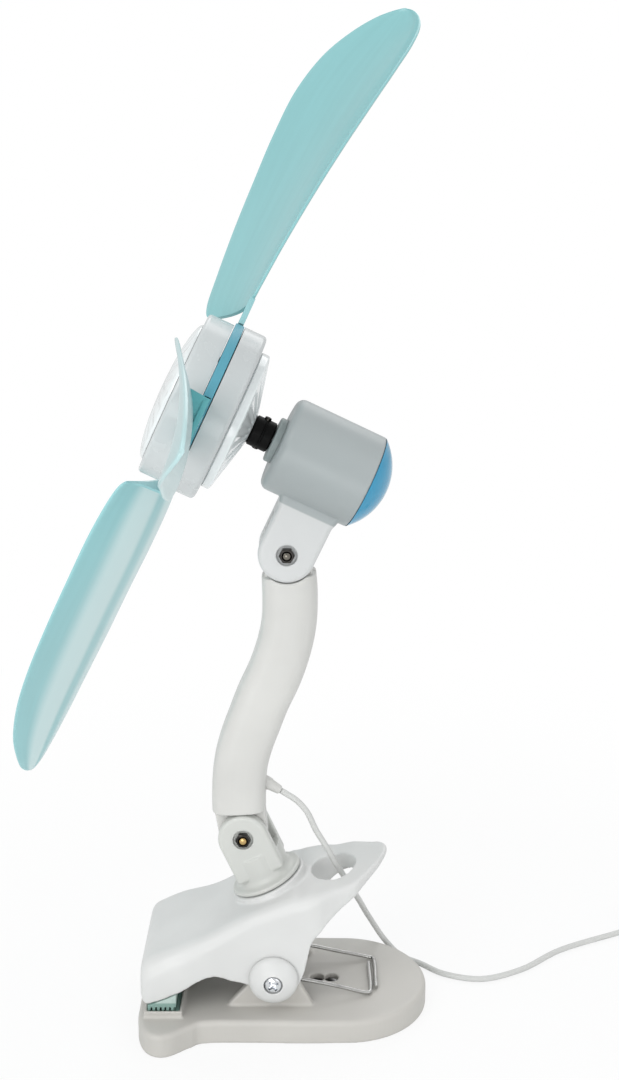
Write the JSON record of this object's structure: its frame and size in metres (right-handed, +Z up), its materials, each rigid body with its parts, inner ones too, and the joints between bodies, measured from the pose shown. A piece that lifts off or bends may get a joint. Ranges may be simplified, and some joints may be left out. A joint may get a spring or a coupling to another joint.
{
  "type": "clip fan",
  "caption": "Spring clip fan: toothed jaws, tilted swivel, curved two-shell arm, tilting motor head and soft unguarded blades, with cord.",
  "frame": {"origin": "underside of the base, straight below the clip's pivot", "axes": "+X towards the handle, +Y away from the viewer of the picture, +Z up"},
  "size_m": [0.3823, 0.354, 0.3738],
  "materials": {
    "white_plastic": "satin white",
    "grey_white_plastic": "satin off-white",
    "pale_grey_plastic": "satin",
    "hub_plastic": "satin",
    "mid_grey_plastic": "satin",
    "blue_plastic": "glossy",
    "black_plastic": "satin",
    "teal_rubber": "matt",
    "ring_teal": "satin",
    "blade_soft": "satin soft",
    "cord_grey": "satin",
    "chrome": "polished",
    "spring_steel": "bright wire",
    "steel": "brushed",
    "dark_steel": "dark",
    "magnet": "dull",
    "brass": "turned",
    "copper": "enamelled wire"
  },
  "bodies": {
    "base": {"base_clip": "grey_white_plastic", "pad_lower": "teal_rubber", "clip_screw": "chrome", "clip_nut": "chrome", "dome_washer_near": "white_plastic", "dome_washer_far": "white_plastic", "clip_spring": "spring_steel", "cord_lead": "cord_grey", "cord_coil": "cord_grey", "switch_body": "white_plastic", "plug_grip": "white_plastic", "plug_shell": "steel"},
    "jaw": {"jaw_clip": "white_plastic", "pad_upper": "teal_rubber"},
    "swivel": {"swivel_post": "white_plastic", "swivel_washer": "steel", "swivel_screw": "steel", "lower_bolt": "brass", "lower_nut": "dark_steel"},
    "arm": {"arm_near": "white_plastic", "arm_far": "white_plastic", "arm_screw": "steel", "upper_bolt": "brass", "upper_nut": "dark_steel", "cord_grommet": "white_plastic"},
    "head": {"head_housing": "pale_grey_plastic", "rear_dome": "blue_plastic", "front_collar": "mid_grey_plastic", "motor_can": "steel", "magnet_ring": "magnet", "motor_end_cap": "black_plastic", "front_bush": "brass", "rear_bush": "brass"},
    "rotor": {"motor_shaft": "steel", "armature_core": "magnet", "winding_front": "copper", "winding_rear": "copper", "commutator": "copper", "shaft_coupler": "black_plastic", "set_screw_upper": "dark_steel", "set_screw_lower": "dark_steel", "rear_flange": "white_plastic", "rear_shell": "hub_plastic", "blade_ring": "ring_teal", "front_shell": "hub_plastic", "front_cap": "hub_plastic", "hub_nut": "steel", "hub_screw_a": "steel", "hub_screw_b": "steel", "hub_screw_c": "steel", "blade_a": "blade_soft", "blade_b": "blade_soft", "blade_c": "blade_soft"},
    "rocker": {"switch_rocker": "white_plastic"}
  },
  "joints": [
    {"name": "jaw_hinge", "type": "hinge", "parent": "base", "child": "jaw", "pos_m": [0, 0, 0.022], "axis": [0, 1, 0], "range_deg": [0, 30], "stiffness_Nm_per_rad": 0.45, "springref_deg": -57.3, "deforming": ["clip_spring", "cord_lead"]},
    {"name": "swivel_turn", "type": "hinge", "parent": "jaw", "child": "swivel", "pos_m": [-0.00245, 0, 0.0515], "axis": [-0.4147, 0, 0.91], "range_deg": [-180, 180], "deforming": ["cord_lead"]},
    {"name": "arm_tilt", "type": "hinge", "parent": "swivel", "child": "arm", "pos_m": [-0.01128, 0, 0.07088], "axis": [0, 1, 0], "range_deg": [-100, 70], "deforming": ["cord_lead"]},
    {"name": "head_tilt", "type": "hinge", "parent": "arm", "child": "head", "pos_m": [0.00532, 0, 0.17978], "axis": [0, -1, 0], "range_deg": [-40, 70]},
    {"name": "fan_spin", "type": "hinge", "parent": "head", "child": "rotor", "pos_m": [-0.02382, 0, 0.23135], "axis": [-0.9026, 0, 0.4305], "continuous": true},
    {"name": "switch_rock", "type": "hinge", "parent": "base", "child": "rocker", "pos_m": [0.16764, 0.06125, 0.00915], "axis": [-0.4691, 0.8832, 0], "range_deg": [0, 14]}
  ]
}
